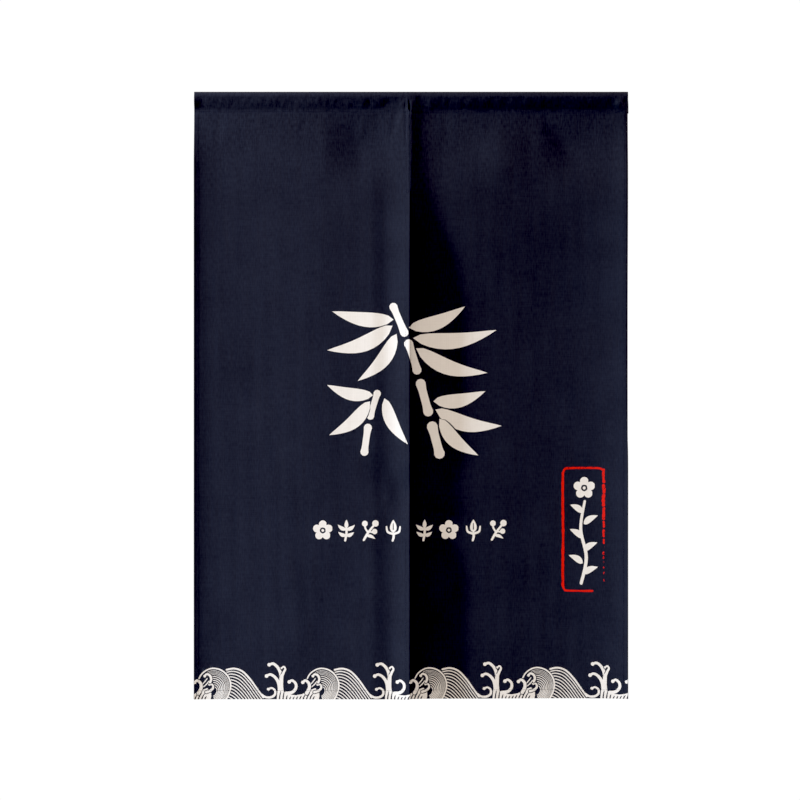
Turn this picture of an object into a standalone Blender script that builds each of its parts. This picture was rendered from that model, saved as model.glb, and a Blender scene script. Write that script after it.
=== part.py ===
"""Partition curtain: two hemmed cloths, sewn together near the top, each with its half of a rod pocket.

X runs across the curtain, Z is up and the room it is seen from lies towards -Y. The origin is the middle
of the top edge, where a rod in the pocket would hold it. All sizes are metres.
"""
import math
from collections import namedtuple

import bmesh
import bpy

# Overall sizes
WIDTH = 0.850
HEIGHT = 1.189
POCKET = 0.038
SEAM = 0.196
LAP = 0.006
SPLIT = -0.0015
GAP = 0.0003

# Cloth and hems
CLOTH = 0.0012
HEM_CLOTH = 0.0024
SIDE_HEM = 0.010
BOTTOM_HEM = 0.020
HEM_STEP = 0.001
HEM_LEAN = 0.0012

# Rod pocket section: half depths of its round top, of its neck and at the stitch line, and their drops
ROD_SPACE = 0.0085
POCKET_NECK = 0.0020
POCKET_FOOT = 0.0010
POCKET_TOP = CLOTH / 2
ROUND_DROP = 0.0080
NECK_DROP = 0.0280
POCKET_END = POCKET - GAP / 2 - CLOTH / 2
LEAN_DROP = 0.0130
WALL_DROPS = (0.0018, 0.0043, 0.0085, 0.0130, 0.0180, 0.0232, 0.0285, 0.0342)
SWELL_DROP = 0.0190
SWELL_SPAN = 0.0160
POCKET_STATIONS = 20

# Grid of a hanging cloth
EDGE_COLUMNS = (0.0, 0.0025, 0.0055)
FIELD_COLUMNS = 18
FIELD_ROWS = 28
CROWDING = 0.55

# The cloth hangs freely from this drop on, and the split has opened by the second one
FREE_DROP = 0.330
OPEN_DROP = 0.360

# Folds that run down a cloth. x: place of the crest, lean: shift in x for each metre of drop,
# half: half width, top: depth at the stitch line, low: depth where the cloth hangs freely.
Fold = namedtuple("Fold", "x lean half top low")
LEFT_FOLDS = (
    Fold(x=-0.060, lean=0.000, half=0.300, top=0.0000, low=-0.0070),
    Fold(x=-0.045, lean=0.003, half=0.038, top=0.0014, low=0.0046),
    Fold(x=-0.100, lean=-0.020, half=0.080, top=0.0016, low=0.0026),
)
RIGHT_FOLDS = (
    Fold(x=0.320, lean=0.000, half=0.210, top=0.0012, low=0.0140),
    Fold(x=0.105, lean=0.015, half=0.050, top=-0.0016, low=-0.0012),
)

# Edges that flare out of the cloth. x: the edge, reach: how far in it dies away, top: depth at the
# stitch line, low: depth from the drop named free on.
Flare = namedtuple("Flare", "x reach top low free")
LEFT_FLARES = (
    Flare(x=-WIDTH / 2, reach=0.016, top=-0.0010, low=-0.0110, free=0.150),
    Flare(x=SPLIT, reach=0.011, top=-0.0040, low=-0.0030, free=0.300),
    Flare(x=SPLIT, reach=0.026, top=-0.0010, low=-0.0140, free=0.330),
)
RIGHT_FLARES = (
    Flare(x=WIDTH / 2, reach=0.034, top=-0.0030, low=-0.0200, free=0.240),
)

# Soft dents in one place. x and drop: the middle, half and span: half width and half height, depth: how far back.
Dent = namedtuple("Dent", "x drop half span depth")
LEFT_DENTS = (
    Dent(x=-0.095, drop=0.110, half=0.085, span=0.085, depth=0.0085),
    Dent(x=-0.050, drop=0.760, half=0.070, span=0.075, depth=0.0050),
    Dent(x=-0.020, drop=0.785, half=0.030, span=0.050, depth=0.0040),
    Dent(x=-0.165, drop=1.060, half=0.060, span=0.120, depth=0.0030),
    Dent(x=-0.300, drop=0.560, half=0.110, span=0.180, depth=0.0025),
)
RIGHT_DENTS = (
    Dent(x=0.180, drop=0.125, half=0.070, span=0.095, depth=-0.0070),
    Dent(x=0.315, drop=0.105, half=0.075, span=0.085, depth=0.0085),
    Dent(x=0.360, drop=0.800, half=0.070, span=0.170, depth=0.0030),
)

# The right cloth falls back behind the split
RETREAT_REACH = 0.036
RETREAT_TOP = 0.0055
RETREAT_LOW = 0.0290
RIGHT_START = 0.0040
START_REACH = 0.030
LAP_SPACE = 0.0030

# The outer edge of the right cloth curls back down to the first drop and lies flat from the second on
CURL = 0.0032
CURL_REACH = 0.0028
CURL_DROPS = (0.640, 0.780)

# Swells along the pocket's front wall. x: the middle, half: half width, height: how far out.
Swell = namedtuple("Swell", "x half height")
SWELLS = (
    Swell(x=-0.375, half=0.040, height=0.0008),
    Swell(x=-0.285, half=0.060, height=0.0014),
    Swell(x=-0.190, half=0.050, height=0.0010),
    Swell(x=-0.085, half=0.050, height=0.0015),
    Swell(x=0.120, half=0.070, height=0.0014),
    Swell(x=0.250, half=0.060, height=0.0010),
    Swell(x=0.350, half=0.055, height=0.0014),
)

NAVY = (0.011, 0.012, 0.026, 1.0)


def ramp(start, end, value):
    """Rise smoothly from 0 at start to 1 at end."""
    part = min(max((value - start) / (end - start), 0.0), 1.0)
    return part * part * (3.0 - 2.0 * part)


def hump(value, middle, half):
    """Height of a smooth hump, 1 at its middle and 0 from half on."""
    part = min(abs(value - middle) / half, 1.0)
    return 0.5 + 0.5 * math.cos(math.pi * part)


def between(top, low, share):
    return top + (low - top) * share


def shape_sum(x, drop, folds, flares, dents):
    """Depth of a cloth from its folds, flares and dents."""
    hang = ramp(POCKET, FREE_DROP, drop)
    depth = 0.0
    for fold in folds:
        depth += between(fold.top, fold.low, hang) * hump(x, fold.x + fold.lean * drop, fold.half)
    for flare in flares:
        size = between(flare.top, flare.low, ramp(POCKET, flare.free, drop))
        depth += size * math.exp(-abs(x - flare.x) / flare.reach)
    for dent in dents:
        depth += dent.depth * hump(x, dent.x, dent.half) * hump(drop, dent.drop, dent.span)
    return depth


def left_front(x, drop):
    """Depth of the left cloth's front."""
    return shape_sum(x, drop, LEFT_FOLDS, LEFT_FLARES, LEFT_DENTS)


def right_front(x, drop):
    """Depth of the right cloth's front. It follows the left cloth behind the lap and then falls back."""
    opened = ramp(SEAM, OPEN_DROP, drop)
    hang = ramp(POCKET, FREE_DROP, drop)
    sewn = left_front(min(x, SPLIT), drop) + LAP_SPACE
    beyond = max(x - SPLIT, 0.0)
    start = between(sewn, RIGHT_START, opened) * math.exp(-beyond / START_REACH)
    retreat = between(RETREAT_TOP, RETREAT_LOW, hang) * (1.0 - math.exp(-beyond / RETREAT_REACH))
    curl = CURL * math.exp((x - WIDTH / 2) / CURL_REACH) * (1.0 - ramp(*CURL_DROPS, drop))
    own = shape_sum(x, drop, RIGHT_FOLDS, RIGHT_FLARES, RIGHT_DENTS)
    return start + retreat + curl + own * ramp(0.0, LAP, beyond)


def crowded(start, end, count):
    """Places from start to end, closer together near both ends."""
    places = []
    for index in range(count + 1):
        part = index / count
        part -= CROWDING * math.sin(2.0 * math.pi * part) / (2.0 * math.pi)
        places.append(start + (end - start) * part)
    return places


def cloth_columns(left, right):
    """Places across a cloth: its two side hems and the field between them."""
    hem = EDGE_COLUMNS + (SIDE_HEM - HEM_STEP / 2,)
    inner = SIDE_HEM + HEM_STEP / 2
    field = crowded(left + inner, right - inner, FIELD_COLUMNS)
    return [left + step for step in hem] + field + [right - step for step in reversed(hem)]


def cloth_rows():
    """Drops down a cloth: from the stitch line to the field's end, then the bottom hem."""
    top = POCKET + GAP / 2
    field_end = HEIGHT - BOTTOM_HEM - HEM_STEP / 2
    field = crowded(top, field_end, FIELD_ROWS)
    return field + [HEIGHT - BOTTOM_HEM + HEM_STEP / 2, HEIGHT - BOTTOM_HEM / 2, HEIGHT]


def add_part(name, mesh, holder, material):
    """Give a mesh its material and its own object in the curtain's collection."""
    mesh.materials.append(material)
    mesh.shade_smooth()
    part = bpy.data.objects.new(name, mesh)
    holder.objects.link(part)
    return part


def hanging_cloth(name, left, right, front, holder, material):
    """One cloth: its front in its hanging folds, thickened backwards, twice as thick in its hems."""
    columns = cloth_columns(left, right)
    rows = cloth_rows()
    flat = bmesh.new()
    bmesh.ops.create_grid(flat, x_segments=len(columns) - 1, y_segments=len(rows) - 1, size=1.0)
    in_field = []
    for point in flat.verts:
        x = columns[round((point.co.x + 1.0) / 2.0 * (len(columns) - 1))]
        drop = rows[round((1.0 - point.co.y) / 2.0 * (len(rows) - 1))]
        point.co = (x, front(x, drop), -drop)
        in_field.append(left + SIDE_HEM < x < right - SIDE_HEM and drop < HEIGHT - BOTTOM_HEM)
    mesh = bpy.data.meshes.new(name)
    flat.to_mesh(mesh)
    flat.free()
    part = add_part(name, mesh, holder, material)
    group = part.vertex_groups.new(name="thickness")
    for share, field in ((CLOTH / HEM_CLOTH, True), (1.0, False)):
        group.add([index for index, single in enumerate(in_field) if single is field], share, "REPLACE")
    thick = part.modifiers.new("cloth", "SOLIDIFY")
    thick.thickness = HEM_CLOTH
    thick.offset = -1.0
    thick.vertex_group = group.name
    return part


def pocket_half_depth(drop):
    """Half depth of the pocket's section at a drop: round at the top, then drawn in to the stitch line."""
    if drop <= ROUND_DROP:
        part = 1.0 - (drop - POCKET_TOP) / (ROUND_DROP - POCKET_TOP)
        return ROD_SPACE * math.sqrt(max(1.0 - part * part, 0.0))
    if drop <= NECK_DROP:
        return between(ROD_SPACE, POCKET_NECK, ramp(ROUND_DROP, NECK_DROP, drop))
    return between(POCKET_NECK, POCKET_FOOT, (drop - NECK_DROP) / (POCKET_END - NECK_DROP))


def pocket_section(x, front):
    """Loop of (depth, drop) points around the pocket at a place: down the front wall, then up the back wall."""
    foot_middle = front(x, POCKET) + POCKET_FOOT + CLOTH / 2
    swell = sum(row.height * hump(x, row.x, row.half) for row in SWELLS)
    fore_wall, aft_wall = [], []
    for drop in WALL_DROPS:
        lean = foot_middle * ramp(LEAN_DROP, POCKET_END, drop)
        half = pocket_half_depth(drop)
        fore_wall.append((lean - half - swell * hump(drop, SWELL_DROP, SWELL_SPAN), drop))
        aft_wall.append((lean + half, drop))
    foot = [(foot_middle + side * POCKET_FOOT, POCKET_END) for side in (-1.0, 1.0)]
    return [(0.0, POCKET_TOP)] + fore_wall + foot + aft_wall[::-1]


def rod_pocket(name, left, right, front, holder, material):
    """Half of the rod pocket: a cloth tube along X, open at both ends, lofted through its sections."""
    stations = crowded(left, right, POCKET_STATIONS)
    tube = bmesh.new()
    loops = []
    for x in stations:
        loops.append([tube.verts.new((x, depth, -drop)) for depth, drop in pocket_section(x, front)])
    for loop, other in zip(loops, loops[1:]):
        for index in range(len(loop)):
            tube.faces.new((loop[index - 1], loop[index], other[index], other[index - 1]))
    mesh = bpy.data.meshes.new(name)
    tube.to_mesh(mesh)
    tube.free()
    part = add_part(name, mesh, holder, material)
    thick = part.modifiers.new("cloth", "SOLIDIFY")
    thick.thickness = CLOTH
    thick.offset = 0.0
    return part


def cloth_material(name, shade):
    """A dull woven cloth of one colour."""
    material = bpy.data.materials.new(name)
    material.use_nodes = True
    surface = material.node_tree.nodes["Principled BSDF"]
    surface.inputs["Base Color"].default_value = [channel * shade for channel in NAVY[:3]] + [1.0]
    surface.inputs["Roughness"].default_value = 0.85
    surface.inputs["Metallic"].default_value = 0.0
    return material


def main():
    for item in list(bpy.data.objects):
        bpy.data.objects.remove(item)
    holder = bpy.data.collections.new("partition_curtain")
    bpy.context.scene.collection.children.link(holder)
    outer = WIDTH / 2
    hem_edge = outer - HEM_LEAN
    middle = SPLIT - LAP / 2
    hanging_cloth("panel_left", -hem_edge, SPLIT, left_front, holder, cloth_material("left_navy", 1.0))
    hanging_cloth("panel_right", SPLIT - LAP, hem_edge, right_front, holder, cloth_material("right_navy", 0.9))
    rod_pocket("heading_left", -outer, middle - GAP / 2, left_front, holder, cloth_material("left_pocket", 1.1))
    rod_pocket("heading_right", middle + GAP / 2, outer, right_front, holder, cloth_material("right_pocket", 1.0))


main()
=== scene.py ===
"""Looks of the partition curtain: two printed cloths in their folds, their stitches, lamps and camera.

X runs across the curtain, Z is up and the room it is seen from lies towards -Y. The origin is the middle
of the top edge. All sizes are metres. A drop is a distance down from the top edge.
"""

import logging
import math
from dataclasses import dataclass, field
from enum import Enum

import bpy
import numpy as np
from mathutils import Matrix, Vector, geometry


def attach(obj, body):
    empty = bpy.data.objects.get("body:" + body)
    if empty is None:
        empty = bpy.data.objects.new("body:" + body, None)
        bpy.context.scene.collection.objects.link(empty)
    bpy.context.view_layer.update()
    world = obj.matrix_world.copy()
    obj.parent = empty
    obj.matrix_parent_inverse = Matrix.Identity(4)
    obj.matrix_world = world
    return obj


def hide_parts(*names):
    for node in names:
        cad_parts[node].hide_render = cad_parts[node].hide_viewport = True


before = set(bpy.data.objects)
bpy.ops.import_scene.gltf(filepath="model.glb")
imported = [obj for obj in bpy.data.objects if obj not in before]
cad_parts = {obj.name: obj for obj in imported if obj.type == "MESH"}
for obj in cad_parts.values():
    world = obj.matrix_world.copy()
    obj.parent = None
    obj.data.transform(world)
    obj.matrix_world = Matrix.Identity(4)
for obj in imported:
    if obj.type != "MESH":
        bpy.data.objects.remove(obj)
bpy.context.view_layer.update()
LOG = logging.getLogger("partition_curtain")

Array = np.ndarray
Point = tuple[float, float]
Outline = list[Point]

# Overall sizes, as in the solids. The cloths part below the seam, and hang quite free from the open drop on.
WIDTH = 0.850
HEIGHT = 1.189
POCKET = 0.038
SEAM = 0.196
LAP = 0.006
SPLIT = -0.0023
FREE_DROP = 0.330
OPEN_DROP = 0.360
LEFT_EDGE = -(WIDTH / 2 - 0.0008)
RIGHT_EDGE = WIDTH / 2 - 0.0002

# Cloth, hems and ink. A hem is two layers, and its step is the way over which the second one starts.
CLOTH = 0.0008
HEM_CLOTH = 0.0016
SIDE_HEM = 0.010
BOTTOM_HEM = 0.020
HEM_STEP = 0.0006
INK_TOP = 0.00018
INK_THICK = 0.00012

# The photograph's scale and the curtain's place in it, in pixels of an 800 x 800 frame
CURTAIN_PIXELS = 434.25
PIXEL = WIDTH / CURTAIN_PIXELS
FRAME_PIXELS = 800
MIDDLE_PIXEL = 410.95
TOP_PIXEL = 91.78


class Side(Enum):
    """Which of the two cloths."""

    LEFT = "left"
    RIGHT = "right"


class Ink(Enum):
    """What a patch of the printed face shows."""

    GROUND = "ground"
    CREAM = "cream"
    RED = "red"


def ramp(start: float, end: float, value: Array) -> Array:
    """Rise smoothly from 0 at start to 1 at end."""
    part = np.clip((value - start) / (end - start), 0.0, 1.0)
    return part * part * (3.0 - 2.0 * part)


def fall(start: float, end: float, value: Array) -> Array:
    """Fall smoothly from 1 at start to 0 at end."""
    return 1.0 - ramp(start, end, value)


def hump(value: Array, middle: Array, half: float) -> Array:
    """Height of a smooth hump, 1 at its middle and 0 from half on."""
    part = np.minimum(np.abs(value - middle) / half, 1.0)
    return 0.5 + 0.5 * np.cos(np.pi * part)


def between(top: Array, low: Array, share: Array) -> Array:
    """The value that lies that share of the way from top to low."""
    return top + (low - top) * share


@dataclass(frozen=True)
class Fold:
    """A fold down the cloth: its place, shift for a metre of drop, half width, and depth above and below."""

    x: float
    lean: float
    half: float
    top: float
    low: float

    def depth(self, x: Array, drop: Array) -> Array:
        """Depth of the fold at each place."""
        size = between(self.top, self.low, ramp(POCKET, FREE_DROP, drop))
        return size * hump(x, self.x + self.lean * drop, self.half)


@dataclass(frozen=True)
class Flare:
    """An edge that flares out: its place, how far in it dies away, and its depth above and from a drop on."""

    x: float
    reach: float
    top: float
    low: float
    free: float

    def depth(self, x: Array, drop: Array) -> Array:
        """Depth of the flare at each place."""
        size = between(self.top, self.low, ramp(POCKET, self.free, drop))
        return size * np.exp(-np.abs(x - self.x) / self.reach)


@dataclass(frozen=True)
class Dent:
    """A soft dent: its middle, its half width and half height, and how far back it goes."""

    x: float
    drop: float
    half: float
    span: float
    deep: float

    def depth(self, x: Array, drop: Array) -> Array:
        """Depth of the dent at each place."""
        return self.deep * hump(x, self.x, self.half) * hump(drop, self.drop, self.span)


@dataclass(frozen=True)
class Crease:
    """A soft crease along a line from one place to another, dying away at both ends."""

    start: Point
    end: Point
    half: float
    deep: float

    def depth(self, x: Array, drop: Array) -> Array:
        """Depth of the crease at each place."""
        run = (self.end[0] - self.start[0], self.end[1] - self.start[1])
        length = math.hypot(*run)
        along = ((x - self.start[0]) * run[0] + (drop - self.start[1]) * run[1]) / length
        aside = ((x - self.start[0]) * run[1] - (drop - self.start[1]) * run[0]) / length
        return self.deep * hump(aside, 0.0, self.half) * hump(along, length / 2, length / 2)


@dataclass(frozen=True)
class Ripple:
    """Faint uneven waves over a whole cloth, the sum of a few with seeded directions and starts."""

    seed: int
    count: int
    height: float
    shortest: float
    longest: float
    slant: float

    def depth(self, x: Array, drop: Array) -> Array:
        """Depth of the ripple at each place."""
        rng = np.random.default_rng(self.seed)
        total = np.zeros(np.broadcast(x, drop).shape)
        for _ in range(self.count):
            pitch = rng.uniform(self.shortest, self.longest)
            lean = rng.normal(0.0, self.slant)
            start = rng.uniform(0.0, 2.0 * math.pi)
            total = total + np.cos(2.0 * math.pi * (x + lean * drop) / pitch + start)
        return total * self.height / math.sqrt(self.count)


@dataclass(frozen=True, kw_only=True)
class Drape:
    """The hanging shape of one cloth, from its own folds, flares, dents and creases."""

    marks: tuple
    ripples: tuple
    groove_deep: float = 0.0005
    groove_half: float = 0.0030

    def own(self, x: Array, drop: Array) -> Array:
        """Depth from the cloth's own marks and ripples."""
        total = np.zeros(np.broadcast(x, drop).shape)
        for mark in self.marks + self.ripples:
            total = total + mark.depth(x, drop)
        return total

    def groove(self, drop: Array) -> Array:
        """Depth of the groove that the pocket's stitch line draws into the face."""
        return self.groove_deep * hump(drop, POCKET + self.groove_half / 2, self.groove_half)

    def front(self, x: Array, drop: Array) -> Array:
        """Depth of the printed face."""
        raise NotImplementedError


@dataclass(frozen=True, kw_only=True)
class LeftDrape(Drape):
    """The left cloth, whose split edge rolls back a little."""

    roll_top: float = 0.0006
    roll_low: float = 0.0024
    roll_reach: float = 0.0020

    def laid(self, x: Array, drop: Array) -> Array:
        """Depth of the printed face without the stitch line's groove."""
        opened = ramp(SEAM, OPEN_DROP, drop)
        roll = between(self.roll_top, self.roll_low, opened) * np.exp((x - SPLIT) / self.roll_reach)
        return self.own(x, drop) + roll

    def front(self, x: Array, drop: Array) -> Array:
        """Depth of the printed face."""
        return self.laid(x, drop) + self.groove(drop)


@dataclass(frozen=True, kw_only=True)
class RightDrape(Drape):
    """The right cloth, which follows the left one behind the lap and then falls back.

    Beside the sewn seam it has a flat strip that stands a little forward, and a notch beyond the strip. Its
    outer edge curls back.
    """

    lead: LeftDrape
    lap_space: float = 0.0018
    free_start: float = 0.0040
    start_reach: float = 0.030
    retreat_top: float = 0.0070
    retreat_low: float = 0.0290
    retreat_reach: float = 0.036
    retreat_drops: Point = (0.180, 0.450)
    strip: float = 0.0041
    strip_rise: float = 0.0019
    strip_edge: float = 0.0012
    strip_drops: Point = (0.100, 0.230)
    notch: float = 0.0022
    notch_reach: float = 0.0040
    notch_drops: Point = (0.070, 0.170)
    curl: float = 0.0062
    curl_reach: float = 0.0022
    curl_drops: Point = (0.580, 0.740)

    def sewn(self, x: Array, drop: Array) -> Array:
        """Depth beside the seam, where the face lies just behind the left cloth."""
        beside = ramp(SPLIT, SPLIT + self.strip_edge, x)
        rise = self.strip_rise * beside * fall(SEAM - self.strip_edge, SEAM, drop)
        return self.lead.laid(np.minimum(x, SPLIT), drop) + self.lap_space - rise

    def front(self, x: Array, drop: Array) -> Array:
        """Depth of the printed face."""
        beyond = np.maximum(x - SPLIT - self.strip * fall(*self.strip_drops, drop), 0.0)
        opened = ramp(SEAM, OPEN_DROP, drop)
        start = between(self.sewn(x, drop), self.free_start, opened) * np.exp(-beyond / self.start_reach)
        size = between(self.retreat_top, self.retreat_low, ramp(*self.retreat_drops, drop))
        retreat = size * (1.0 - np.exp(-beyond / self.retreat_reach))
        notch = self.notch * (1.0 - np.exp(-beyond / self.notch_reach)) * fall(*self.notch_drops, drop)
        curl = self.curl * np.exp((x - WIDTH / 2) / self.curl_reach) * fall(*self.curl_drops, drop)
        own = self.own(x, drop) * ramp(0.0, LAP, beyond)
        return start + retreat + notch + curl + own + self.groove(drop)


def each(kind: type, *rows: tuple) -> tuple:
    """One mark of a kind for each row of its values."""
    return tuple(kind(*row) for row in rows)


LEFT_DRAPE = LeftDrape(
    marks=(
        # x, lean, half, top, low
        *each(Fold, (-0.060, 0.000, 0.300, 0.0000, -0.0070), (-0.045, 0.003, 0.038, 0.0021, 0.0048),
              (-0.100, -0.020, 0.080, 0.0016, 0.0026)),
        # x, reach, top, low, free
        *each(Flare, (-WIDTH / 2, 0.016, -0.0010, -0.0110, 0.150), (-WIDTH / 2, 0.009, 0.0000, 0.0013, 0.150),
              (SPLIT, 0.011, -0.0040, -0.0030, 0.300), (SPLIT, 0.018, -0.0022, 0.0000, 0.300),
              (SPLIT, 0.026, -0.0010, -0.0140, 0.330)),
        # x, drop, half, span, deep
        *each(Dent, (-0.095, 0.104, 0.085, 0.098, 0.0100), (-0.050, 0.760, 0.070, 0.075, 0.0050),
              (-0.006, 0.788, 0.045, 0.070, 0.0120), (-0.165, 1.060, 0.060, 0.120, 0.0030),
              (-0.300, 0.560, 0.110, 0.180, 0.0025)),
        # start, end, half, deep
        *each(Crease, ((-0.018, 0.008), (-0.044, 0.108), 0.011, 0.0020),
              ((-0.012, 0.030), (-0.007, 0.060), 0.005, 0.0008),
              ((-0.0108, 0.010), (-0.0104, 0.130), 0.0024, 0.0009),
              ((-0.090, 0.036), (-0.104, 0.110), 0.012, -0.0010),
              ((-0.205, 0.036), (-0.214, 0.096), 0.012, 0.0009),
              ((-0.300, 0.036), (-0.292, 0.088), 0.010, -0.0007),
              ((-0.372, 0.036), (-0.379, 0.110), 0.011, 0.0008),
              ((-0.250, 0.880), (-0.215, 1.060), 0.022, -0.0008),
              ((-0.345, 0.300), (-0.330, 0.560), 0.026, 0.0009)),
    ),
    # seed, count, height, shortest, longest, slant
    ripples=each(Ripple, (3, 5, 0.00013, 0.024, 0.060, 0.09), (4, 4, 0.00005, 0.011, 0.018, 0.06)),
)
RIGHT_DRAPE = RightDrape(
    lead=LEFT_DRAPE,
    marks=(
        # x, lean, half, top, low
        *each(Fold, (0.320, 0.000, 0.210, 0.0012, 0.0140), (0.105, 0.015, 0.050, -0.0016, -0.0012)),
        # x, reach, top, low, free
        *each(Flare, (WIDTH / 2, 0.034, -0.0032, -0.0225, 0.170)),
        # x, drop, half, span, deep
        *each(Dent, (0.180, 0.125, 0.070, 0.095, -0.0070), (0.315, 0.105, 0.075, 0.085, 0.0085),
              (0.386, 0.105, 0.070, 0.100, 0.0060), (0.360, 0.800, 0.070, 0.170, 0.0030)),
        # start, end, half, deep
        *each(Crease, ((0.241, 0.030), (0.338, 0.150), 0.022, 0.0022),
              ((0.062, 0.036), (0.078, 0.110), 0.010, 0.0009),
              ((0.146, 0.036), (0.138, 0.094), 0.010, -0.0008),
              ((0.262, 0.036), (0.276, 0.104), 0.012, 0.0009),
              ((0.352, 0.036), (0.344, 0.084), 0.010, -0.0008),
              ((0.240, 0.400), (0.232, 0.700), 0.030, -0.0009)),
    ),
    # seed, count, height, shortest, longest, slant
    ripples=each(Ripple, (7, 5, 0.00013, 0.024, 0.060, 0.09), (8, 4, 0.00005, 0.011, 0.018, 0.06)),
)


@dataclass(frozen=True)
class RodPocket:
    """The rod pocket's outer face: round at its top, drawn in to the stitch line, with uneven puckers.

    The slope holds the shares of the way down and the shares of the depth that the wall has lost there.
    """

    half_space: float = 0.0091
    half_foot: float = 0.0016
    round_drop: float = 0.0080
    neck_drop: float = 0.0374
    slope: tuple = ((0.0, 0.07, 0.15, 0.93, 1.0), (0.0, 0.03, 0.115, 0.985, 1.0))
    foot_lift: float = 0.0016
    tuck_space: float = 0.0001
    tuck_reach: float = 0.0040
    tuck_seat: float = 0.0020
    pucker_drop: float = 0.021
    pucker_half: float = 0.017
    back_shift: float = 0.3
    # x, drop, half, span, deep
    swells: tuple = each(
        Dent, (-0.375, 0.0190, 0.040, 0.0160, -0.0008), (-0.285, 0.0190, 0.060, 0.0160, -0.0014),
        (-0.190, 0.0190, 0.050, 0.0160, -0.0010), (-0.085, 0.0190, 0.050, 0.0160, -0.0015),
        (0.120, 0.0190, 0.070, 0.0160, -0.0014), (0.250, 0.0190, 0.060, 0.0160, -0.0010),
        (0.350, 0.0190, 0.055, 0.0160, -0.0014), (-0.083, 0.0220, 0.012, 0.0125, 0.0020),
        (-0.042, 0.0220, 0.018, 0.0135, 0.0025), (-0.0095, 0.0240, 0.004, 0.0140, 0.0007),
        (0.0200, 0.0165, 0.0190, 0.0190, 0.0028), (0.0430, 0.0210, 0.012, 0.0120, -0.0008),
        (-0.4255, 0.0190, 0.016, 0.0180, -0.0046), (0.4095, 0.0236, 0.013, 0.0158, -0.0068))
    puckers: Ripple = Ripple(seed=11, count=6, height=0.00052, shortest=0.013, longest=0.034, slant=0.35)

    def share(self, drop: Array) -> Array:
        """How far the wall has gone from the round top to the foot, steep in its middle stretch."""
        part = (drop - self.round_drop) / (self.neck_drop - self.round_drop)
        return np.interp(part, *self.slope)

    def half(self, drop: Array) -> Array:
        """Half depth of the section at a drop."""
        part = 1.0 - np.clip(drop / self.round_drop, 0.0, 1.0)
        crown = self.half_space * np.sqrt(1.0 - part * part)
        wall = between(self.half_space, self.half_foot, self.share(drop))
        return np.where(drop <= self.round_drop, crown, wall)

    def lean(self, x: Array, drop: Array, drape: Drape) -> Array:
        """How far the middle of the section has leaned towards the cloth below it."""
        return (drape.front(x, POCKET) + self.foot_lift) * self.share(drop)

    def puckered(self, x: Array, drop: Array) -> Array:
        """Depth of the puckers, none at the top edge and the stitch line."""
        return self.puckers.depth(x, drop) * hump(drop, self.pucker_drop, self.pucker_half)

    def relief(self, x: Array, drop: Array) -> Array:
        """Depth of the swells and puckers of the front wall."""
        return sum((swell.depth(x, drop) for swell in self.swells), self.puckered(x, drop))

    def fore(self, x: Array, drop: Array, drape: Drape) -> Array:
        """Depth of the front wall."""
        return self.lean(x, drop, drape) - self.half(drop) + self.relief(x, drop)

    def aft(self, x: Array, drop: Array, drape: Drape, layers: Array) -> Array:
        """Depth of the back wall, which ends flat on the back of the cloth below the stitch line."""
        wall = self.lean(x, drop, drape) + self.half(drop) + 0.5 * self.puckered(x + self.back_shift, drop)
        flat = drape.front(x, np.maximum(drop, POCKET)) + layers + self.tuck_space + CLOTH
        return between(wall, flat, ramp(self.neck_drop - self.tuck_reach, POCKET - self.tuck_seat, drop))


class Zone(Enum):
    """Which stretch of the cloth's way over the pocket a row of points lies in."""

    PANEL = "panel"
    FORE = "fore"
    CROWN = "crown"
    AFT = "aft"


@dataclass(frozen=True)
class Row:
    """One row of points across a cloth: its stretch, and its drop, or its turn over the crown in radians."""

    zone: Zone
    place: float


@dataclass(frozen=True)
class Shape:
    """One painted shape: its ink and its outline, in x and height."""

    ink: Ink
    outline: Outline


def smooth_line(points: Outline, steps: int) -> Outline:
    """Points along a smooth curve through a few given ones.

    Args:
        points: The given points, at least two.
        steps: How many parts each stretch between two of them gets.

    Returns:
        The curve's points, with both ends.
    """
    held = [points[0], *points, points[-1]]
    line = []
    for corners in zip(held, held[1:], held[2:], held[3:]):
        for step in range(steps):
            part = step / steps
            line.append(tuple(
                0.5 * (2 * start + (end - before) * part
                       + (2 * before - 5 * start + 4 * end - after) * part * part
                       + (3 * start - before - 3 * end + after) * part ** 3)
                for before, start, end, after in zip(*corners)))
    return line + [points[-1]]


def round_cap(centre: Point, radius: float, start: float, sweep: float, steps: int) -> Outline:
    """Points of an arc around a centre, without its ends."""
    turns = [start + sweep * (step + 1) / (steps + 1) for step in range(steps)]
    return [(centre[0] + radius * math.cos(turn), centre[1] + radius * math.sin(turn)) for turn in turns]


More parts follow.
